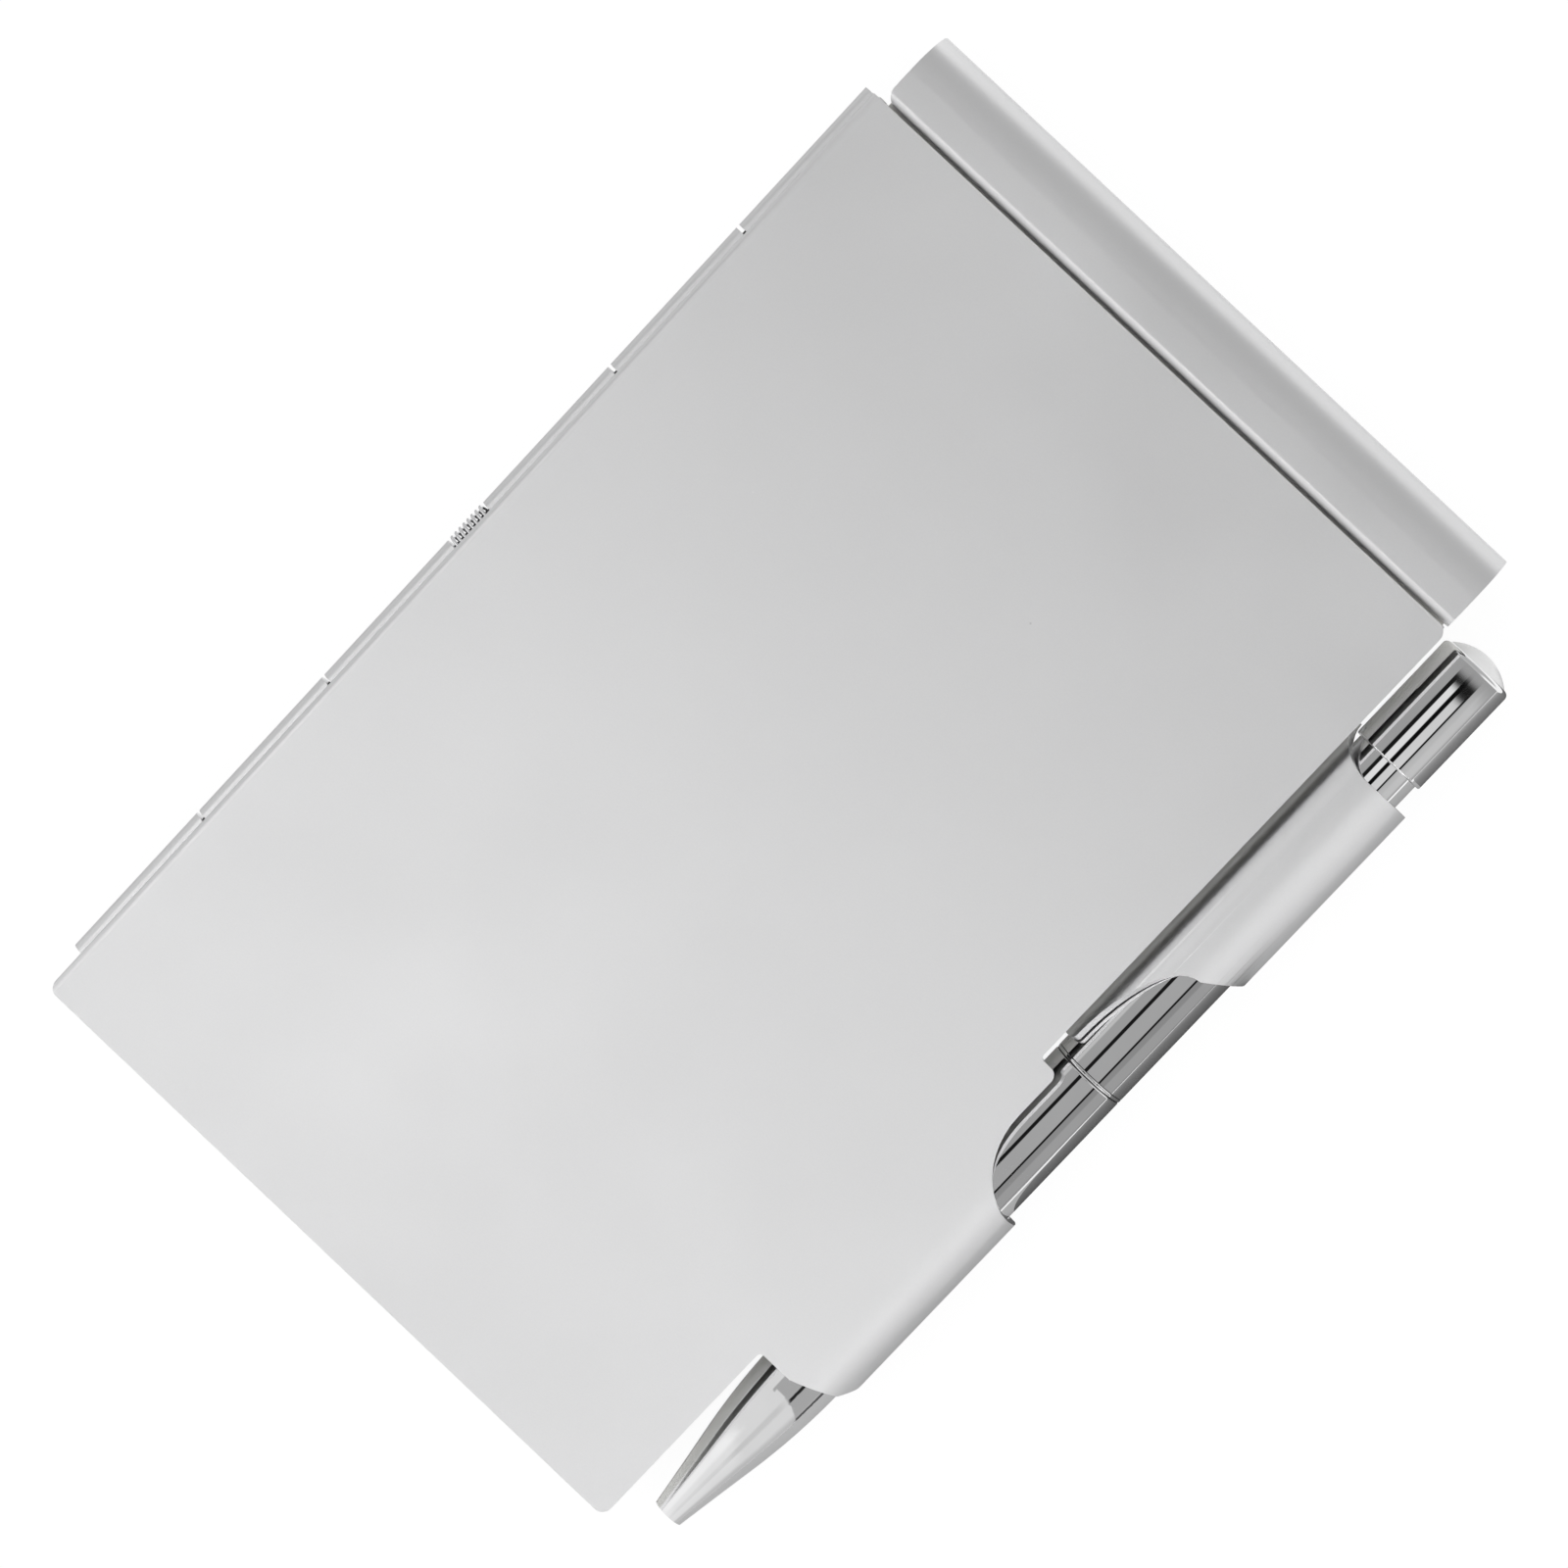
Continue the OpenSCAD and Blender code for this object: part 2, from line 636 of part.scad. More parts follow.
// Domed plug: its rim lies on the cap's end and its spigot in the cap's mouth
module pen_crown() color("Snow") {
    dome_r = (crown_r * crown_r + dome_h * dome_h) / (2 * dome_h);
    turned() {
        intersection() {
            translate([0, cap_down - dome_h + dome_r]) circle(dome_r, $fn = arc_fn);
            band(0, crown_r, cap_down - dome_h - over, cap_down);
        }
        band(0, mouth_r - fix_clear, cap_down - edge_r, spigot_end);
    }
}

module pen_neck() color("LightGray") turned()
    band(neck_bore, neck_r, neck_top, shoulder + neck_seat);

module pen_upper_barrel() color("DarkGray") turned()
    barrel_profile(barrel_bore, shoulder, joint_down);

module pen_joint_ring() color("Gainsboro") turned() difference() {
    barrel_profile(thread_bore, joint_down, ring_end);
    corner_cut([pen_r, ring_end], [-1, -1], edge_r);
}

module pen_thread_insert() color("Goldenrod") turned() {
    band(coupling_bore, neck_r, joint_down - coupling_seat, joint_down);
    band(coupling_bore, thread_r, joint_down, ring_end + thread_l);
}

// Lower barrel with its nose. The bore narrows to the return spring and to the hole for the tip.
module pen_lower_barrel() color("DarkGray") turned() {
    narrow = nose_start - narrow_up;
    narrow_end = narrow + narrow_l;
    difference() {
        union() {
            barrel_profile(0, ring_end, nose_start);
            intersection() {
                translate([pen_r - nose_arc, nose_start]) circle(nose_arc, $fn = 2 * arc_fn);
                band(0, pen_r, nose_start - over, nose_start + arc_l + over);
            }
            polygon([[0, nose_start + arc_l], [arc_end_r, nose_start + arc_l],
                     [nose_end_r, nose_down], [0, nose_down]]);
        }
        band(-over, thread_bore, ring_end - over, narrow);
        polygon([[-over, narrow], [thread_bore, narrow], [spring_bore, narrow_end], [-over, narrow_end]]);
        band(-over, spring_bore, narrow_end - over, seat_down);
        band(-over, nose_bore, seat_down - over, nose_down + over);
    }
}

// Four bars from the axis outwards, between two radii
module cross_bars(r_in, r_out, w, turn) {
    for (i = [0:3]) rotate(90 * i + turn) translate([r_in, -w / 2]) square([r_out - r_in, w]);
}

// Sleeve with four ribs inside, which leave grooves for the fins
module click_sleeve() color("Ivory") on_pen() translate([0, 0, sleeve_top]) linear_extrude(sleeve_l) {
    difference() {
        circle(sleeve_r);
        circle(sleeve_bore);
    }
    intersection() {
        difference() {
            circle(sleeve_r - sleeve_wall / 2);
            circle(rod_r + click_clear);
        }
        cross_bars(rod_r, sleeve_r, rib_w, 0);
    }
}

// Two crossed roofs that make the four teeth between the plunger and the cam
module teeth(h) {
    w = 2 * tooth_h;
    for (a = [0, 90]) rotate([90, 0, a]) translate([0, 0, -2 * rod_r]) linear_extrude(4 * rod_r)
        polygon([[-w / 2, over], [-w / 2, 0], [0, -h], [w / 2, 0], [w / 2, over]]);
}

// Rod with four fins that run in the sleeve's grooves
module finned_rod(d0, d1, fin_end) {
    translate([0, 0, d0]) cylinder(h = d1 - d0, r = rod_r);
    translate([0, 0, fin_end - fin_l]) linear_extrude(fin_l) intersection() {
        circle(fin_r);
        cross_bars(rod_r / 2, sleeve_r, fin_w, 45);
    }
}

module click_plunger() color("Ivory") on_pen() {
    difference() {
        finned_rod(spigot_end, plunger_end, plunger_end - click_clear);
        translate([0, 0, plunger_end]) teeth(tooth_h + click_clear);
    }
}

module click_cam() color("Ivory") on_pen() {
    finned_rod(cam_top, cam_end, cam_end - click_clear);
    intersection() {
        translate([0, 0, cam_top]) teeth(tooth_h);
        translate([0, 0, cam_top - tooth_h - over])
            cylinder(h = 2 * tooth_h + over, r = rod_r - click_clear);
    }
    translate([0, 0, cam_end - click_clear]) cylinder(h = cam_stem_l, r = refill_bore - fix_clear);
}

module refill_tube() color("SteelBlue") turned()
    band(refill_bore, refill_r, cam_end + click_clear, collar_down);

// Tip of the refill: a stem in the tube, a collar for the return spring and a cone with the ball's seat
module refill_tip() color("Gold") turned() {
    end_down = ball_down + rim_hold;
    difference() {
        union() {
            band(0, refill_bore - fix_clear, collar_down - tip_stem_l, collar_down);
            band(0, collar_r, collar_down, collar_down + collar_l);
            band(0, tip_r, collar_down, end_down - cone_l);
            polygon([[0, end_down - cone_l], [tip_r, end_down - cone_l], [ball_r + rim_w, end_down],
                     [0, end_down]]);
        }
        translate([0, ball_down]) circle(ball_r + fix_clear);
    }
}

module refill_ball() color("Gray") on_pen() translate([0, 0, ball_down]) sphere(ball_r);

module return_spring() {
    path = spring_path(return_r, return_pitch, return_curls, return_wire, return_wire);
    echo(return_spring_least_gap = least_gap(path, return_wire));
    color("Gainsboro") on_pen()
        translate([0, 0, collar_down + collar_l + return_end_clear + return_wire / 2])
            wire_body(path, return_wire);
}

front_cover();
back_cover();
hinge_pin();
hinge_spring();
pad_backing();
pad_sheets();
pad_binding();
pen_cap();
pen_crown();
pen_neck();
pen_upper_barrel();
pen_joint_ring();
pen_thread_insert();
pen_lower_barrel();
click_sleeve();
click_plunger();
click_cam();
refill_tube();
refill_tip();
refill_ball();
return_spring();
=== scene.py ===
import math
import random

import bmesh
import bpy
from bpy.props import FloatProperty, FloatVectorProperty, IntProperty, PointerProperty
from mathutils import Matrix, Quaternion, Vector


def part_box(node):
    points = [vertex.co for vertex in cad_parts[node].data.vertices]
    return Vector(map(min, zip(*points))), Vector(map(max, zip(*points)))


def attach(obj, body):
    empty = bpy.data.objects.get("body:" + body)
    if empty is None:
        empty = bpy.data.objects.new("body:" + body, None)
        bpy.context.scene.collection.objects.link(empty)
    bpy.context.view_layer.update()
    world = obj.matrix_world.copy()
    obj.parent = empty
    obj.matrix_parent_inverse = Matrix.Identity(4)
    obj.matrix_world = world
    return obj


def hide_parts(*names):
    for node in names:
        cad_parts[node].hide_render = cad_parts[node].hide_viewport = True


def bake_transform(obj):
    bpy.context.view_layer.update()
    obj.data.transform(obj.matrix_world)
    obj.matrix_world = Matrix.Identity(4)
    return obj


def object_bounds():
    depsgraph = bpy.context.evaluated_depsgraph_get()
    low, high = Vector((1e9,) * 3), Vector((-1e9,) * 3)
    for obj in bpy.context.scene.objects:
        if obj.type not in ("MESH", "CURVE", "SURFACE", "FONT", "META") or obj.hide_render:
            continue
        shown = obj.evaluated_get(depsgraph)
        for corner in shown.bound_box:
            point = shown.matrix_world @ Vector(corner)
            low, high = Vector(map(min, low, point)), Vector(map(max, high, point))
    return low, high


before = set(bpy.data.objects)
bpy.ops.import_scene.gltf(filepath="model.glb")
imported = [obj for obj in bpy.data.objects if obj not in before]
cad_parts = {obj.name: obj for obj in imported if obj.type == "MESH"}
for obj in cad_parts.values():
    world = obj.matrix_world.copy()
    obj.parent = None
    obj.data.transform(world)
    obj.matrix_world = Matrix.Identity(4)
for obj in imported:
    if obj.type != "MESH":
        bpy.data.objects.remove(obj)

bl_info = {
    "name": "Notepad Holder",
    "version": (1, 0, 0),
    "blender": (4, 5, 0),
    "location": "3D View > Sidebar > Notepad Holder",
    "description": "Dresses a sheet metal notepad holder with its pad, pen and hinge spring",
    "category": "Object",
}

# How a node's mesh is read: corners within WELD are one, faces within FLAT are one face, edges over SHARP
# get rounded, and the shading breaks at edges over CREASE.
WELD = 2e-6
FLAT = math.radians(0.2)
SHARP = math.radians(35)
CREASE = math.radians(50)

CAD_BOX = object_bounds()
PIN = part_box("hinge_pin")
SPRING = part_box("hinge_spring")
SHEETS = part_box("pad_sheets")
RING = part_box("pen_joint_ring")
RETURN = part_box("return_spring")

COVERS = {"front_cover": "front_case", "back_cover": "back_case"}
PEN_OUTSIDE = ["pen_cap", "pen_neck", "pen_upper_barrel", "pen_lower_barrel"]
PEN_BRASS = ["pen_thread_insert", "refill_tip"]
PEN_PLASTIC = ["click_sleeve", "click_plunger", "click_cam"]

# Steps in a curl and in a leg of a spring, sides of its wire, how much of each sheet's room is paper, and
# the seed of the sheets' places.
CURL_STEPS = 28
LEG_STEPS = 8
WIRE_SIDES = 12
SHEET_SHARE = 0.82
SHEET_SEED = 7

# The floor lies just under the object, and the cards just above the floor.
FLOOR_DROP = 0.00002
CARD_LIFT = 0.0002
LAMP_AT = (-0.35, -0.45, 0.75)
LAMP_SIZE = (0.7, 0.5)


def colour(name, description, default):
    """A colour that the sidebar shows."""
    return FloatVectorProperty(
        name=name, description=description, subtype="COLOR", size=3, min=0, max=1, default=default
    )


def length(name, description, default):
    """A length in metres."""
    return FloatProperty(
        name=name, description=description, default=default, min=0, unit="LENGTH", precision=5
    )


def factor(name, description, default):
    """A share from 0 to 1."""
    return FloatProperty(name=name, description=description, default=default, min=0, max=1, subtype="FACTOR")


def number(name, description, default):
    """A plain positive number."""
    return FloatProperty(name=name, description=description, default=default, min=0)


class CoverSettings(bpy.types.PropertyGroup):
    metal: colour("Metal", "Colour of the satin covers", (0.865, 0.865, 0.87))
    roughness: factor("Roughness", "Roughness of the satin finish", 0.36)
    grain: length("Grain height", "Height of the blasted grain", 0.0000022)
    edge: length("Edge rounding", "Width of the rounding along the cut edges", 0.00009)
    specks: factor("Specks", "Strength of the few tiny specks", 0.35)


class HingeSettings(bpy.types.PropertyGroup):
    steel: colour("Steel", "Colour of the springs and the ball", (0.90, 0.90, 0.91))
    pin: colour("Pin", "Colour of the oiled hinge pin", (0.09, 0.09, 0.095))
    wire: length("Wire", "Diameter of the spring's wire", 0.00034)
    curls: number("Curls", "Turns of the spring", 8.0)


class PadSettings(bpy.types.PropertyGroup):
    leaves: IntProperty(name="Leaves", description="Sheets in the block", default=48, min=8, max=80)
    stray: length("Stray", "How far a sheet may lie out of line", 0.00012)
    paper: colour("Paper", "Colour of the sheets", (0.90, 0.90, 0.875))
    board: colour("Board", "Colour of the backing board", (0.42, 0.40, 0.365))
    tape: colour("Tape", "Colour of the binding tape", (0.74, 0.735, 0.70))


class PenSettings(bpy.types.PropertyGroup):
    chrome: colour("Chrome", "Colour of the plated pieces", (0.90, 0.90, 0.905))
    polish: factor("Polish roughness", "Roughness of the plated pieces", 0.015)
    crown: colour("Dome plastic", "Colour of the plug in the cap's end", (0.80, 0.80, 0.80))
    # The dark seams are painted shade, standing in for the shadow in the gaps beside the joint ring.
    seam: length("Seam", "Width of the dark seam at each side of the joint ring", 0.00017)
    brass: colour("Brass", "Colour of the coupling and the tip", (0.78, 0.61, 0.30))
    plastic: colour("Click plastic", "Colour of the click mechanism", (0.82, 0.80, 0.74))
    wire: length("Return wire", "Diameter of the return spring's wire", 0.00035)
    curls: number("Return curls", "Turns of the return spring", 9.0)
    tube: colour("Refill", "Colour of the refill tube", (0.04, 0.07, 0.26))


class StudioSettings(bpy.types.PropertyGroup):
    camera_at: FloatVectorProperty(
        name="Camera", description="Place of the camera", subtype="TRANSLATION", size=3,
        default=(0.0102, 0.0444, 0.4552),
    )
    camera_aim: FloatVectorProperty(
        name="Aim", description="Point in the middle of the picture", subtype="TRANSLATION", size=3,
        default=(-0.0027, 0.0008, 0.0104),
    )
    camera_roll: FloatProperty(
        name="Roll", description="Turn of the camera about its own axis, from the bar at the top",
        subtype="ANGLE", default=math.radians(43.19),
    )
    lens: FloatProperty(name="Lens", description="Focal length in millimetres", default=102.5, min=10)
    floor: length("Floor", "Half the width of the floor", 1.2)
    floor_glow: factor("Floor glow", "Share of the floor's white that no shadow dims", 0.9)
    surroundings: number("Surroundings", "Brightness of the room between the studio's panels", 0.50)
    fill: number("Fill", "Strength of the light from all around", 0.95)
    key: number("Key", "Power of the soft lamp, in watts", 0.6)


class Nodes:
    """Adds nodes to a tree and joins them, with a short name for each common step."""

    def __init__(self, tree):
        self.tree = tree

    def add(self, kind, **values):
        node = self.tree.nodes.new(kind)
        for key, value in values.items():
            setattr(node, key, value)
        return node

    def link(self, source, target):
        self.tree.links.new(source, target)

    def put(self, socket, value):
        """Sets a socket to a constant, or links it to another socket."""
        if isinstance(value, bpy.types.NodeSocket):
            self.link(value, socket)
        else:
            socket.default_value = value

    def math(self, operation, *values):
        node = self.add("ShaderNodeMath", operation=operation)
        for socket, value in zip(node.inputs, values):
            self.put(socket, value)
        return node.outputs[0]

    def spread(self, kind, value, low, high, out_low, out_high):
        """Carries a value from one pair of limits to another and holds it between them."""
        node = self.add("ShaderNodeMapRange", interpolation_type=kind, clamp=True)
        names = ("Value", "From Min", "From Max", "To Min", "To Max")
        for name, entry in zip(names, (value, low, high, out_low, out_high)):
            self.put(node.inputs[name], entry)
        return node.outputs["Result"]

    def smooth(self, value, low, high):
        """Smooth step from 0 to 1 between two limits."""
        return self.spread("SMOOTHSTEP", value, low, high, 0.0, 1.0)

    def scale(self, value, out_low, out_high, low=0.0, high=1.0):
        """Straight line between two limits."""
        return self.spread("LINEAR", value, low, high, out_low, out_high)

    def mix(self, share, first, second):
        node = self.add("ShaderNodeMix", data_type="RGBA")
        self.put(node.inputs[0], share)
        self.put(node.inputs[6], first)
        self.put(node.inputs[7], second)
        return node.outputs[2]

    def noise(self, place, scale, detail):
        node = self.add("ShaderNodeTexNoise")
        self.link(place, node.inputs["Vector"])
        self.put(node.inputs["Scale"], scale)
        node.inputs["Detail"].default_value = detail
        return node.outputs["Fac"]

    def stretched(self, place, factors):
        node = self.add("ShaderNodeMapping")
        self.link(place, node.inputs["Vector"])
        node.inputs["Scale"].default_value = factors
        return node.outputs["Vector"]

    def place(self):
        """Where a point of the piece lies, in metres."""
        return self.add("ShaderNodeTexCoord").outputs["Object"]

    def parts(self, vector):
        """The X, Y and Z of a vector."""
        node = self.add("ShaderNodeSeparateXYZ")
        self.link(vector, node.inputs[0])
        return node.outputs

    def shaded(self, tint, level):
        """A colour times a level."""
        node = self.add("ShaderNodeVectorMath", operation="SCALE")
        self.link(tint, node.inputs[0])
        self.link(level, node.inputs["Scale"])
        return node.outputs[0]

    def group(self, tree, **values):
        """Places an effect with its own values."""
        node = self.add("ShaderNodeGroup", node_tree=tree)
        for name, value in values.items():
            node.inputs[name].default_value = value
        return node


def rgba(value):
    return (value[0], value[1], value[2], 1.0)


def effect(name, inputs, outputs, build):
    """Makes a shader node group once. inputs are (name, kind, default) and outputs are (name, kind)."""
    if name in bpy.data.node_groups:
        return bpy.data.node_groups[name]
    tree = bpy.data.node_groups.new(name, "ShaderNodeTree")
    for label, kind, default in inputs:
        socket = tree.interface.new_socket(label, in_out="INPUT", socket_type=kind)
        if default is not None:
            socket.default_value = default
    for label, kind in outputs:
        tree.interface.new_socket(label, in_out="OUTPUT", socket_type=kind)
    nodes = Nodes(tree)
    given = nodes.add("NodeGroupInput")
    made = nodes.add("NodeGroupOutput")
    build(nodes, given.outputs, made.inputs)
    return tree


FLOAT, COLOUR = "NodeSocketFloat", "NodeSocketColor"


def grain_effect():
    """Fine even grain with a slow unevenness, for satin metal, paper and board."""

    def build(nodes, given, made):
        place = nodes.place()
        fine = nodes.noise(place, given["Scale"], 3.0)
        slow = nodes.noise(place, 45.0, 2.0)
        shade = nodes.math("MULTIPLY_ADD", nodes.math("SUBTRACT", slow, 0.5), given["Unevenness"], 1.0)
        speckle = nodes.math("MULTIPLY", nodes.math("SUBTRACT", fine, 0.5), given["Speckle"])
        level = nodes.math("ADD", shade, speckle)
        rough = nodes.math("MULTIPLY", given["Roughness"], nodes.scale(slow, 0.92, 1.08, 0.3, 0.7))
        nodes.link(nodes.shaded(given["Color"], level), made["Color"])
        nodes.link(rough, made["Roughness"])
        nodes.link(fine, made["Height"])

    return effect(
        "Grain",
        [("Color", COLOUR, (0.8, 0.8, 0.8, 1)), ("Roughness", FLOAT, 0.4), ("Scale", FLOAT, 5000.0),
         ("Unevenness", FLOAT, 0.03), ("Speckle", FLOAT, 0.05)],
        [("Color", COLOUR), ("Roughness", FLOAT), ("Height", FLOAT)],
        build,
    )


def specks_effect():
    """Mask of a few tiny specks, as dust and pits leave them on sheet metal."""

    def build(nodes, given, made):
        cells = nodes.add("ShaderNodeTexVoronoi", feature="F1")
        nodes.link(nodes.place(), cells.inputs["Vector"])
        nodes.link(given["Scale"], cells.inputs["Scale"])
        dot = nodes.smooth(cells.outputs["Distance"], 0.035, 0.015)
        parts = nodes.add("ShaderNodeSeparateColor")
        nodes.link(cells.outputs["Color"], parts.inputs[0])
        chosen = nodes.math("LESS_THAN", parts.outputs[0], given["Share"])
        nodes.link(nodes.math("MULTIPLY", dot, chosen), made["Mask"])
        nodes.link(parts.outputs[1], made["Tone"])

    return effect(
        "Specks",
        [("Scale", FLOAT, 250.0), ("Share", FLOAT, 0.1)],
        [("Mask", FLOAT), ("Tone", FLOAT)],
        build,
    )


def drawn_effect():
    """Fine lines round the Y axis, as turning and drawing leave them, and faint smudges."""

    def build(nodes, given, made):
        place = nodes.place()
        lines = nodes.noise(nodes.stretched(place, (400.0, 26000.0, 400.0)), 1.0, 2.0)
        smudge = nodes.noise(place, 160.0, 3.0)
        rough = nodes.math("MULTIPLY", given["Roughness"], nodes.scale(smudge, 0.75, 1.6, 0.35, 0.7))
        shade = nodes.scale(smudge, 1.0, 0.96, 0.35, 0.7)
        nodes.link(nodes.shaded(given["Color"], shade), made["Color"])
        nodes.link(rough, made["Roughness"])
        nodes.link(lines, made["Height"])

    return effect(
        "Drawn lines",
        [("Color", COLOUR, (0.8, 0.8, 0.8, 1)), ("Roughness", FLOAT, 0.1)],
        [("Color", COLOUR), ("Roughness", FLOAT), ("Height", FLOAT)],
        build,
    )


def new_material(name, metallic):
    """A material with its nodes and its Principled shader."""
    material = bpy.data.materials.new(name)
    material.use_nodes = True
    nodes = Nodes(material.node_tree)
    shader = material.node_tree.nodes["Principled BSDF"]
    shader.inputs["Metallic"].default_value = metallic
    return material, nodes, shader


def bump(nodes, shader, height, distance):
    node = nodes.add("ShaderNodeBump")
    node.inputs["Strength"].default_value = 1.0
    node.inputs["Distance"].default_value = distance
    nodes.link(height, node.inputs["Height"])
    nodes.link(node.outputs["Normal"], shader.inputs["Normal"])


def dress(nodes, shader, effect_node, height):
    """Joins an effect's colour and roughness to the shader, and its height where there is one."""
    nodes.link(effect_node.outputs["Color"], shader.inputs["Base Color"])
    nodes.link(effect_node.outputs["Roughness"], shader.inputs["Roughness"])
    if height:
        bump(nodes, shader, effect_node.outputs["Height"], height)


def satin_metal(settings):
    """Blasted and anodised sheet metal: a soft sheen, a fine grain and a few specks."""
    material, nodes, shader = new_material("Satin cover", 1.0)
    grain = nodes.group(
        grain_effect(), Color=rgba(settings.metal), Roughness=settings.roughness,
        Scale=5200.0, Unevenness=0.02, Speckle=0.05,
    )
    specks = nodes.group(specks_effect(), Scale=240.0, Share=0.06)
    pit, dust = (0.45, 0.45, 0.46, 1.0), (0.98, 0.98, 0.98, 1.0)
    tone = nodes.mix(nodes.math("GREATER_THAN", specks.outputs["Tone"], 0.5), pit, dust)
    share = nodes.math("MULTIPLY", specks.outputs["Mask"], settings.specks)
    nodes.link(nodes.mix(share, grain.outputs["Color"], tone), shader.inputs["Base Color"])
    nodes.link(grain.outputs["Roughness"], shader.inputs["Roughness"])
    bump(nodes, shader, grain.outputs["Height"], settings.grain)
    return material


def polished_metal(name, tint, roughness, height=0.0):
    """Plated or turned metal with faint smudges and, where a height is given, fine turning lines."""
    material, nodes, shader = new_material(name, 1.0)
    drawn = nodes.group(drawn_effect(), Color=rgba(tint), Roughness=roughness)
    dress(nodes, shader, drawn, height)
    return material


def seam_effect():
    """Mask of the painted shade in the two seams beside a ring that lies between two places along Y."""

    def build(nodes, given, made):
        along = nodes.parts(nodes.place())[1]
        below = nodes.math("SUBTRACT", along, given["From"])
        above = nodes.math("SUBTRACT", given["To"], along)
        inside = nodes.math("MINIMUM", below, above)
        nodes.link(nodes.smooth(inside, given["Width"], 0.0), made["Mask"])

    return effect(
        "Seams",
        [("From", FLOAT, 0.0), ("To", FLOAT, 0.001), ("Width", FLOAT, 0.0001)],
        [("Mask", FLOAT)],
        build,
    )


def ringed_metal(name, settings):
    """The chrome of the joint ring, with painted shade in its two seams."""
    material, nodes, shader = new_material(name, 1.0)
    seams = nodes.group(seam_effect(), From=RING[0].y, To=RING[1].y, Width=settings.seam)
    # Near-black painted shade in the seams, standing in for the shadow in the gaps beside the ring.
    painted_seam_shade = (0.02, 0.02, 0.02, 1.0)
    tint = nodes.mix(seams.outputs["Mask"], rgba(settings.chrome), painted_seam_shade)
    nodes.link(tint, shader.inputs["Base Color"])
    nodes.link(nodes.scale(seams.outputs["Mask"], settings.polish, 0.4), shader.inputs["Roughness"])
    return material


def grained(name, tint, roughness, scale, unevenness, speckle, height):
    """Paper, board, tape or plastic: one colour with its own grain."""
    material, nodes, shader = new_material(name, 0.0)
    grain = nodes.group(
        grain_effect(), Color=rgba(tint), Roughness=roughness,
        Scale=scale, Unevenness=unevenness, Speckle=speckle,
    )
    dress(nodes, shader, grain, height)
    return material


def give(obj, material):
    """Puts one material on the whole object."""
    obj.data.materials.clear()
    obj.data.materials.append(material)


def linked(name, data):
    """A new object in the scene."""
    obj = bpy.data.objects.new(name, data)
    bpy.context.scene.collection.objects.link(obj)
    return obj


def new_piece(name, mesh, body, node):
    """Links a mesh as a piece that rides on a body and stands for a CAD node."""
    obj = linked(name, mesh)
    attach(obj, body)
    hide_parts(node)
    return obj


def smooth_mesh(bm, name):
    """Turns a bmesh into a mesh that shades smooth except at its creases."""
    mesh = bpy.data.meshes.new(name)
    bm.to_mesh(mesh)
    bm.free()
    for face in mesh.polygons:
        face.use_smooth = True
    mesh.set_sharp_from_angle(angle=CREASE)
    return mesh


def softened_copy(node, name, width):
    """Copy of a node's mesh whose sharp edges are rounded over."""
    bm = bmesh.new()
    bm.from_mesh(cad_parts[node].data)
    bmesh.ops.remove_doubles(bm, verts=bm.verts, dist=WELD)
    bmesh.ops.dissolve_limit(
        bm, angle_limit=FLAT, verts=bm.verts, edges=bm.edges, use_dissolve_boundaries=False
    )
    sharp = [e for e in bm.edges if e.is_manifold and e.calc_face_angle(0) > SHARP]
    bmesh.ops.bevel(
        bm, geom=sharp, offset=width, offset_type="OFFSET", segments=2, profile=0.5,
        affect="EDGES", clamp_overlap=True, harden_normals=False,
    )
    return smooth_mesh(bm, name)


def flatten_shading(obj):
    """Keeps flat faces flat in the shading, beside their rounded edges."""
    modifier = obj.modifiers.new("Weighted normals", "WEIGHTED_NORMAL")
    modifier.mode = "FACE_AREA"
    modifier.weight = 50
    modifier.keep_sharp = True


class NOTEPAD_OT_covers(bpy.types.Operator):
    """Round the cut edges of the two covers and give them their satin finish"""

    bl_idname = "notepad.covers"
    bl_label = "Covers"

    def execute(self, context):
        settings = context.scene.notepad_covers
        satin = satin_metal(settings)
        for node, body in COVERS.items():
            mesh = softened_copy(node, node + "_sheet", settings.edge)
            piece = new_piece(node + "_sheet", mesh, body, node)
            flatten_shading(piece)
            give(piece, satin)
        return {"FINISHED"}


def tube_mesh(name, points, radius):
    """Round wire along a list of points, closed at both ends."""
    bm = bmesh.new()
    rings = []
    side = None
    angles = [2 * math.pi * k / WIRE_SIDES for k in range(WIRE_SIDES)]
    for i, point in enumerate(points):
        ahead = (points[min(i + 1, len(points) - 1)] - points[max(i - 1, 0)]).normalized()
        if side is None:
            side = ahead.orthogonal().normalized()
        side = (side - ahead * side.dot(ahead)).normalized()
        other = ahead.cross(side)
        spokes = [math.cos(a) * side + math.sin(a) * other for a in angles]
        rings.append([bm.verts.new(point + radius * spoke) for spoke in spokes])
    for near, far in zip(rings, rings[1:]):
        for k in range(WIRE_SIDES):
            after = (k + 1) % WIRE_SIDES
            bm.faces.new((near[k], near[after], far[after], far[k]))
    bm.faces.new(list(reversed(rings[0])))
    bm.faces.new(rings[-1])
    bmesh.ops.recalc_face_normals(bm, faces=bm.faces)
    return smooth_mesh(bm, name)


def coil_points(axis, radius, top, bottom, curls):
    """Route of a spring along Y: whole curls round the axis, from its top end to its bottom end."""
    count = round(curls * CURL_STEPS)
    points = []
    for i in range(count + 1):
        turn = -2 * math.pi * i / CURL_STEPS
        along = top + (bottom - top) * i / count
        place = Vector((radius * math.cos(turn), along, radius * math.sin(turn)))
        points.append(Vector((axis.x, 0, axis.z)) + place)
    return points


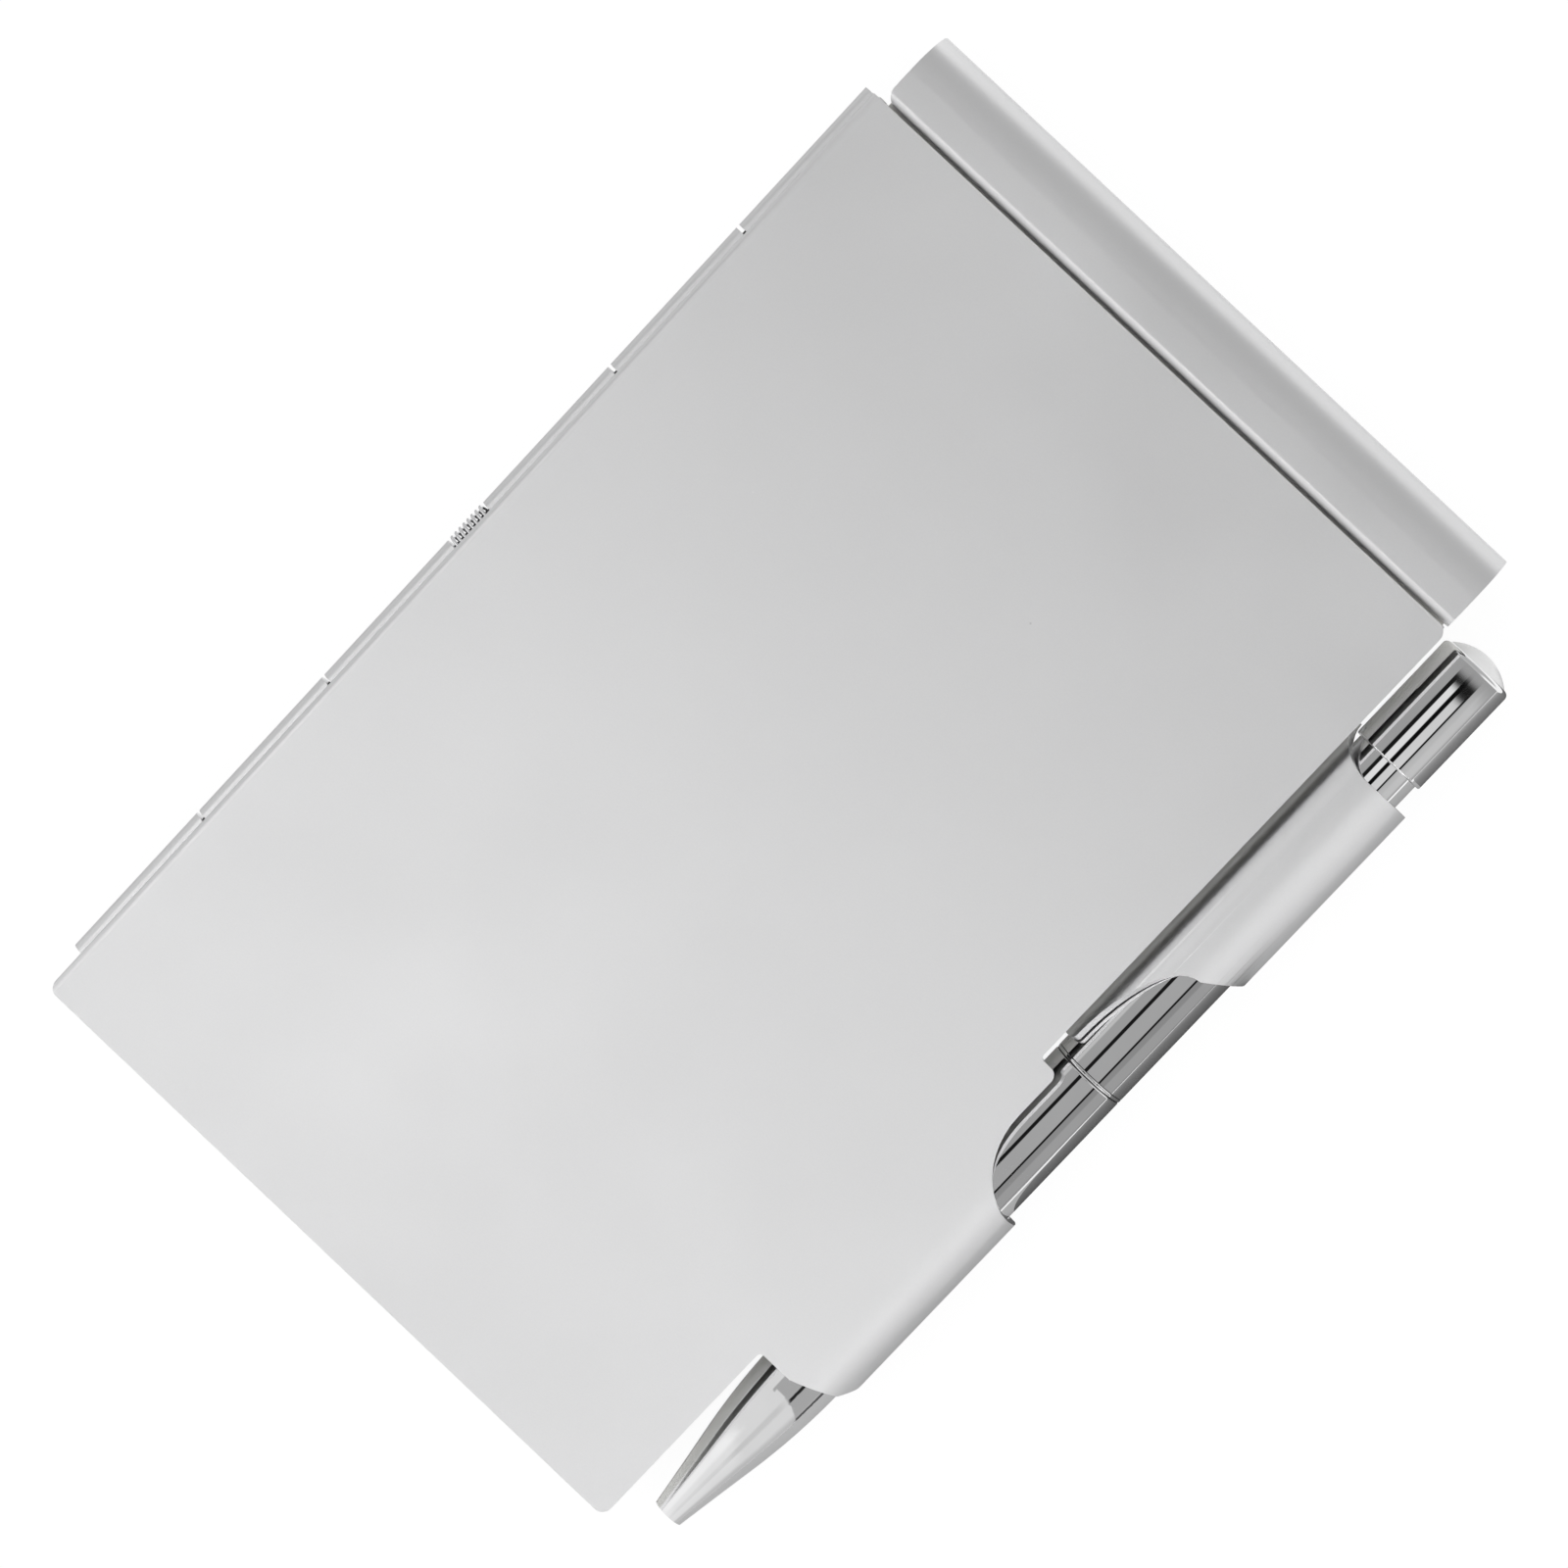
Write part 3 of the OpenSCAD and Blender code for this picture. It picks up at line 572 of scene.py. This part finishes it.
def hinge_spring_points(settings):
    """Route of the hinge spring: a leg from the front cover, the curls and a leg to the back cover."""
    axis = (PIN[0] + PIN[1]) / 2
    half = settings.wire / 2
    radius = axis.x - SPRING[0].x - half
    points = coil_points(axis, radius, SPRING[1].y - half, SPRING[0].y + half, settings.curls)
    upper = Vector((points[0].x, points[0].y, SPRING[1].z))
    lower = Vector((points[-1].x, points[-1].y, SPRING[0].z))
    first = [upper.lerp(points[0], k / LEG_STEPS) for k in range(LEG_STEPS)]
    last = [points[-1].lerp(lower, k / LEG_STEPS) for k in range(1, LEG_STEPS + 1)]
    return first + points + last


def wire_between(name, points, wire, material, node):
    """A spring of wire along the given points, in place of a CAD node."""
    spring = linked(name, tube_mesh(name, points, wire / 2))
    give(spring, material)
    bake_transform(spring)
    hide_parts(node)


class NOTEPAD_OT_hinge(bpy.types.Operator):
    """Wind the hinge spring and give it and the pin their steel"""

    bl_idname = "notepad.hinge"
    bl_label = "Hinge pin and spring"

    def execute(self, context):
        settings = context.scene.notepad_hinge
        oiled = polished_metal("Oiled steel", settings.pin, roughness=0.28, height=0.0000008)
        give(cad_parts["hinge_pin"], oiled)
        steel = polished_metal("Spring steel", settings.steel, roughness=0.12, height=0.0000005)
        wire_between(
            "hinge_spring_wire", hinge_spring_points(settings), settings.wire, steel,
            "hinge_spring",
        )
        return {"FINISHED"}


def leaf_stack(settings):
    """The block of paper as separate sheets that lie a little out of line."""
    low, high = SHEETS
    pitch = (high.z - low.z) / settings.leaves
    sheet = pitch * SHEET_SHARE
    rng = random.Random(SHEET_SEED)
    bm = bmesh.new()
    for i in range(settings.leaves):
        left, right, near = (rng.random() * settings.stray for _ in range(3))
        corner = Vector((low.x + left, low.y + near, low.z + pitch * i))
        far = Vector((high.x - right, high.y, low.z + pitch * i + sheet))
        bmesh.ops.create_cube(
            bm, size=1.0,
            matrix=Matrix.Translation((corner + far) / 2) @ Matrix.Diagonal((*(far - corner), 1.0)),
        )
    mesh = bpy.data.meshes.new("pad_leaves")
    bm.to_mesh(mesh)
    bm.free()
    return mesh


class NOTEPAD_OT_pad(bpy.types.Operator):
    """Stack the sheets of the pad and finish its board and its tape"""

    bl_idname = "notepad.pad"
    bl_label = "Pad"

    def execute(self, context):
        settings = context.scene.notepad_pad
        paper = grained(
            "Paper", settings.paper, roughness=0.85, scale=2600.0, unevenness=0.02, speckle=0.06,
            height=0.000006,
        )
        leaves = new_piece("pad_leaves", leaf_stack(settings), "pad", "pad_sheets")
        give(leaves, paper)
        board = grained(
            "Grey board", settings.board, roughness=0.92, scale=1900.0, unevenness=0.06, speckle=0.35,
            height=0.00002,
        )
        give(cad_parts["pad_backing"], board)
        tape = grained(
            "Binding tape", settings.tape, roughness=0.8, scale=3400.0, unevenness=0.03, speckle=0.12,
            height=0.00001,
        )
        give(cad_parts["pad_binding"], tape)
        return {"FINISHED"}


class NOTEPAD_OT_pen(bpy.types.Operator):
    """Plate the outside of the pen and finish the dome in its cap"""

    bl_idname = "notepad.pen"
    bl_label = "Pen outside"

    def execute(self, context):
        settings = context.scene.notepad_pen
        chrome = polished_metal("Chrome", settings.chrome, settings.polish)
        for node in PEN_OUTSIDE:
            give(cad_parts[node], chrome)
        give(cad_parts["pen_joint_ring"], ringed_metal("Ringed chrome", settings))
        crown = grained(
            "Dome plastic", settings.crown, roughness=0.34, scale=700.0, unevenness=0.02, speckle=0.015,
            height=0.000001,
        )
        give(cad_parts["pen_crown"], crown)
        return {"FINISHED"}


class NOTEPAD_OT_pen_inside(bpy.types.Operator):
    """Finish the coupling, the click mechanism, the refill and the return spring"""

    bl_idname = "notepad.pen_inside"
    bl_label = "Pen inside"

    def execute(self, context):
        settings = context.scene.notepad_pen
        brass = polished_metal("Turned brass", settings.brass, roughness=0.22, height=0.000001)
        for node in PEN_BRASS:
            give(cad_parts[node], brass)
        plastic = grained(
            "Moulded plastic", settings.plastic, roughness=0.42, scale=900.0, unevenness=0.02, speckle=0.02,
            height=0.000002,
        )
        for node in PEN_PLASTIC:
            give(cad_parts[node], plastic)
        refill = grained(
            "Refill tube", settings.tube, roughness=0.25, scale=400.0, unevenness=0.05, speckle=0.02,
            height=0.000001,
        )
        give(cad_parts["refill_tube"], refill)
        tint = context.scene.notepad_hinge.steel
        steel = polished_metal("Bright wire", tint, roughness=0.14, height=0.0000004)
        give(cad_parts["refill_ball"], steel)
        low, high = RETURN
        half = settings.wire / 2
        radius = (high.x - low.x) / 2 - half
        points = coil_points((low + high) / 2, radius, high.y - half, low.y + half, settings.curls)
        wire_between(
            "return_spring_wire", points, settings.wire, steel,
            "return_spring",
        )
        return {"FINISHED"}


def seen_rays(nodes):
    """1 for what the camera, a reflection or a refraction sees, and 0 for the light that falls on things."""
    path = nodes.add("ShaderNodeLightPath")
    either = nodes.math("MAXIMUM", path.outputs["Is Camera Ray"], path.outputs["Is Glossy Ray"])
    return path, nodes.math("MAXIMUM", either, path.outputs["Is Transmission Ray"])


def floor_material(settings):
    """White floor that keeps a soft part of the object's shadow."""
    material = bpy.data.materials.new("Floor")
    material.use_nodes = True
    tree = material.node_tree
    tree.nodes.clear()
    nodes = Nodes(tree)
    _, seen = seen_rays(nodes)
    diffuse = nodes.add("ShaderNodeBsdfDiffuse")
    diffuse.inputs["Color"].default_value = (0.92, 0.92, 0.92, 1.0)
    glow = nodes.add("ShaderNodeEmission")
    glow.inputs["Strength"].default_value = 1.03
    mixer = nodes.add("ShaderNodeMixShader")
    nodes.link(nodes.math("MULTIPLY", seen, settings.floor_glow), mixer.inputs[0])
    nodes.link(diffuse.outputs[0], mixer.inputs[1])
    nodes.link(glow.outputs[0], mixer.inputs[2])
    output = nodes.add("ShaderNodeOutputMaterial")
    nodes.link(mixer.outputs[0], output.inputs["Surface"])
    return material


# Studio panels as the pen mirrors them: name, level, from and to round the pen in degrees from straight
# up towards +X, from and to along it as the direction's Y, and the softness of both edges. A later panel
# lies over the earlier ones.
ALL_ROUND = (-100, 100)
BAND = (-0.145, 0.03)
CAP_BAND = (-0.03, 0.022)
BARREL_BAND = (-0.145, -0.03)
NOSE_BAND = (-0.66, -0.205)
PANELS = [
    ("right softbox", 0.98, (24, 120), (0.0, 0.55), 12, 0.08),
    ("far end", 0.45, (-120, 10), (0.50, 1.2), 20, 0.15),
    ("far end, right", 0.46, (10, 120), (0.60, 1.2), 20, 0.12),
    ("camera side", 0.28, (-34, 20), (0.026, 0.15), 4, 0.02),
    ("near softbox", 0.65, (-400, 400), (-1.2, -0.15), 20, 0.015),
    ("near softbox, right", 1.90, (60, 400), (-1.2, -0.15), 15, 0.015),
    ("overhead strip", 3.25, (-60, 60), (-0.215, -0.15), 12, 0.01),
    ("nose", 0.74, ALL_ROUND, NOSE_BAND, 8, 0.006),
    ("nose, lower", 0.82, ALL_ROUND, (-0.66, -0.47), 8, 0.03),
    ("nose, tip", 0.95, (-100, 70), (-0.66, -0.52), 8, 0.015),
    ("nose, right", 0.56, (70, 100), (-0.66, -0.27), 10, 0.02),
    ("nose, bright side", 0.95, (-52, -14), (-0.66, -0.44), 10, 0.04),
    ("nose, dull stripe", 0.62, (12, 30), (-0.50, -0.30), 5, 0.03),
    ("nose, start", 0.42, (-34, 78), (-0.285, -0.205), 2, 0.004),
    ("line on the nose's start", 0.02, (22, 31), (-0.281, -0.205), 1.5, 0.004),
    ("nose, dark side of its start", 0.10, (80, 130), (-0.285, -0.205), 4, 0.004),
    ("wall", 0.36, ALL_ROUND, BAND, 10, 0.003),
    ("wall, left end", 0.50, (-110, -85), CAP_BAND, 2, 0.004),
    ("wall, right of the cap", 0.52, (40, 62), CAP_BAND, 6, 0.004),
    ("wall, bright right of the cap", 0.58, (56, 84), CAP_BAND, 6, 0.004),
    ("barrel, left wall", 0.31, (-100, -61), BARREL_BAND, 2, 0.004),
    ("barrel, left", 0.55, (-58, -48), BARREL_BAND, 2, 0.004),
    ("barrel softbox", 0.40, (-16, 37), BARREL_BAND, 1.0, 0.004),
    ("barrel, right", 0.28, (38, 56), BARREL_BAND, 2, 0.004),
    ("barrel, bright right", 0.36, (56, 84), BARREL_BAND, 5, 0.004),
    ("dark edge of the barrel's softbox", 0.01, (-20, -10), BARREL_BAND, 0.8, 0.004),
    ("right edge of the barrel's softbox", 0.01, (33, 39), BARREL_BAND, 0.8, 0.004),
    ("dark right end", 0.40, (88, 130), CAP_BAND, 5, 0.004),
    ("dark right end of the barrel", 0.22, (88, 130), BARREL_BAND, 6, 0.004),
    ("cap frame", 0.01, (-32.5, 39), (-0.03, 0.0235), 1.0, 0.0012),
    ("cap softbox", 0.80, (-20.5, 4), (-0.03, 0.0205), 1.0, 0.0012),
    ("cap softbox, right", 0.68, (4, 33.5), (-0.03, 0.0185), 1.0, 0.0012),
    ("camera", 0.004, (-2, 10), (-0.03, 0.0235), 1.2, 0.0012),
    ("dark beside the lamp", 0.04, (-83, -68), CAP_BAND, 1.5, 0.003),
    ("lamp beside the cap", 1.10, (-69, -59), CAP_BAND, 1.2, 0.003),
]


class Sky:
    """The direction of a ray in terms of the pen: its angle round the pen and its part along the pen."""

    def __init__(self, nodes):
        self.nodes = nodes
        way = nodes.parts(nodes.add("ShaderNodeTexCoord").outputs["Generated"])
        self.round = nodes.math("DEGREES", nodes.math("ARCTAN2", way[0], way[2]))
        self.along = way[1]

    def between(self, value, low, high, soft):
        nodes = self.nodes
        return nodes.math(
            "MULTIPLY",
            nodes.smooth(value, low - soft, low + soft),
            nodes.smooth(value, high + soft, high - soft),
        )

    def panel(self, under, level, turn, along, soft_turn, soft_along):
        """Lays a panel of one brightness over what is there."""
        nodes = self.nodes
        mask = nodes.math(
            "MULTIPLY",
            self.between(self.round, *turn, soft_turn),
            self.between(self.along, *along, soft_along),
        )
        return nodes.math("MULTIPLY_ADD", mask, nodes.math("SUBTRACT", level, under), under)


def studio_world(settings):
    """White behind the object, an even fill on it, and the studio's panels in what it mirrors."""
    world = bpy.data.worlds.new("Studio")
    bpy.context.scene.world = world
    world.use_nodes = True
    tree = world.node_tree
    tree.nodes.clear()
    nodes = Nodes(tree)
    sky = Sky(nodes)
    level = settings.surroundings
    for _, *panel in PANELS:
        level = sky.panel(level, *panel)
    path, seen = seen_rays(nodes)
    level = nodes.math("MAXIMUM", level, path.outputs["Is Camera Ray"])
    fill = nodes.math("MULTIPLY", nodes.math("SUBTRACT", 1.0, seen), settings.fill)
    background = nodes.add("ShaderNodeBackground")
    background.inputs["Color"].default_value = (1.0, 1.0, 1.0, 1.0)
    nodes.link(nodes.math("MULTIPLY_ADD", level, seen, fill), background.inputs["Strength"])
    output = nodes.add("ShaderNodeOutputWorld")
    nodes.link(background.outputs[0], output.inputs["Surface"])


def graded(name, near, far, start, reach):
    """Card paint that brightens along +X, from near at start to far at the end of its reach."""
    material, nodes, shader = new_material(name, 0.0)
    across = nodes.parts(nodes.place())[0]
    share = nodes.math("POWER", nodes.scale(across, 0.0, 1.0, start, start + reach), 0.5)
    nodes.link(nodes.mix(share, rgba((near,) * 3), rgba((far,) * 3)), shader.inputs["Base Color"])
    shader.inputs["Roughness"].default_value = 0.9
    return material


def flat_stage(name, x, y, z, paint):
    """A level rectangle of the stage, from and to along X and Y."""
    mesh = bpy.data.meshes.new(name)
    corners = [(x[0], y[0], z), (x[1], y[0], z), (x[1], y[1], z), (x[0], y[1], z)]
    mesh.from_pydata(corners, [], [(0, 1, 2, 3)])
    obj = linked(name, mesh)
    give(obj, paint)
    return obj


def floor_card(name, paint, x, y):
    """Card on the floor that only mirrors show. It darkens the edges of the chrome and the satin metal."""
    card = flat_stage(name, x, y, CAD_BOX[0].z + CARD_LIFT, paint)
    card.visible_camera = False
    card.visible_diffuse = False
    card.visible_shadow = False
    card.visible_transmission = False


def plain(name, level):
    """Card paint of one grey."""
    return grained(
        name, (level,) * 3, roughness=0.9, scale=800.0, unevenness=0.02, speckle=0.05, height=0.00001
    )


def floor_cards():
    """Cards round the object: graded beside the pen's bare stretches, plain beside its tubes."""
    low, high = CAD_BOX
    gap, reach = 0.002, 0.6
    start = high.x - 0.0025  # under the pen's edge
    nose = low.y + 0.026  # where the bare nose begins
    hook_end, tube_low, tube_high = -0.016, 0.0175, 0.044  # ends of the hook and the tube
    beside = (start, start + 0.06)
    wide = (start, start + reach)
    floor_card("hook_card", plain("Hook card", 0.45), beside, (nose, hook_end))
    floor_card("barrel_card", graded("Barrel card", 0.08, 0.50, start, reach), wide, (hook_end, tube_low))
    floor_card("tube_card", plain("Tube card", 0.45), beside, (tube_low, tube_high))
    floor_card("cap_card", graded("Cap card", 0.11, 0.80, start, reach), wide, (tube_high, high.y - 0.004))
    floor_card("nose_card", plain("Nose card", 0.50), (high.x + gap, high.x + reach), (nose - 0.3, nose))
    floor_card("bar_card", plain("Bar card", 0.85), (low.x, high.x), (high.y + gap, high.y + reach))
    floor_card("left_card", plain("Left card", 0.60), (low.x - reach, low.x - gap), (low.y - 0.01, high.y))


class NOTEPAD_OT_studio(bpy.types.Operator):
    """Set up the white floor, the soft light and the camera"""

    bl_idname = "notepad.studio"
    bl_label = "Studio"

    def execute(self, context):
        settings = context.scene.notepad_studio
        scene = context.scene
        scene.view_settings.view_transform = "Standard"
        studio_world(settings)
        span = (-settings.floor, settings.floor)
        flat_stage("floor", span, span, CAD_BOX[0].z - FLOOR_DROP, floor_material(settings))
        floor_cards()
        self.set_lamp(settings)
        self.set_camera(scene, settings)
        return {"FINISHED"}

    def set_lamp(self, settings):
        """Soft lamp that looks at the object and shows in no mirror."""
        data = bpy.data.lights.new("Key lamp", "AREA")
        data.shape = "RECTANGLE"
        data.size, data.size_y = LAMP_SIZE
        data.energy = settings.key
        lamp = linked("Key lamp", data)
        lamp.location = LAMP_AT
        lamp.rotation_mode = "QUATERNION"
        lamp.rotation_quaternion = (-lamp.location).to_track_quat("-Z", "Y")
        lamp.visible_camera = False
        lamp.visible_glossy = False

    def set_camera(self, scene, settings):
        """Camera at the photo's place, turned so that the bar points up and to the right as there."""
        data = bpy.data.cameras.new("Camera")
        data.lens = settings.lens
        data.sensor_width = 36.0
        data.clip_start = 0.01
        data.clip_end = 20.0
        camera = linked("Camera", data)
        camera.location = settings.camera_at
        back = (camera.location - Vector(settings.camera_aim)).normalized()
        right = Vector((0, 1, 0)).cross(back).normalized()
        upright = Matrix((right, back.cross(right), back)).transposed().to_quaternion()
        camera.rotation_mode = "QUATERNION"
        camera.rotation_quaternion = upright @ Quaternion((0, 0, 1), settings.camera_roll)
        scene.camera = camera


class NOTEPAD_PT_panel(bpy.types.Panel):
    """Settings and steps of the notepad holder"""

    bl_idname = "NOTEPAD_PT_panel"
    bl_label = "Notepad Holder"
    bl_space_type = "VIEW_3D"
    bl_region_type = "UI"
    bl_category = "Notepad Holder"

    def draw(self, context):
        layout = self.layout
        for name, group, operators in STEPS:
            box = layout.box()
            settings = getattr(context.scene, name)
            for key in group.__annotations__:
                box.prop(settings, key)
            for operator in operators:
                box.operator(operator.bl_idname)


STEPS = [
    ("notepad_studio", StudioSettings, [NOTEPAD_OT_studio]),
    ("notepad_covers", CoverSettings, [NOTEPAD_OT_covers]),
    ("notepad_hinge", HingeSettings, [NOTEPAD_OT_hinge]),
    ("notepad_pad", PadSettings, [NOTEPAD_OT_pad]),
    ("notepad_pen", PenSettings, [NOTEPAD_OT_pen, NOTEPAD_OT_pen_inside]),
]


def register():
    for name, group, operators in STEPS:
        bpy.utils.register_class(group)
        setattr(bpy.types.Scene, name, PointerProperty(type=group))
        for operator in operators:
            bpy.utils.register_class(operator)
    bpy.utils.register_class(NOTEPAD_PT_panel)


def unregister():
    bpy.utils.unregister_class(NOTEPAD_PT_panel)
    for name, group, operators in reversed(STEPS):
        for operator in reversed(operators):
            bpy.utils.unregister_class(operator)
        delattr(bpy.types.Scene, name)
        bpy.utils.unregister_class(group)


def main():
    register()
    bpy.ops.notepad.studio()
    bpy.ops.notepad.covers()
    bpy.ops.notepad.hinge()
    bpy.ops.notepad.pad()
    bpy.ops.notepad.pen()
    bpy.ops.notepad.pen_inside()


if __name__ == "__main__":
    main()
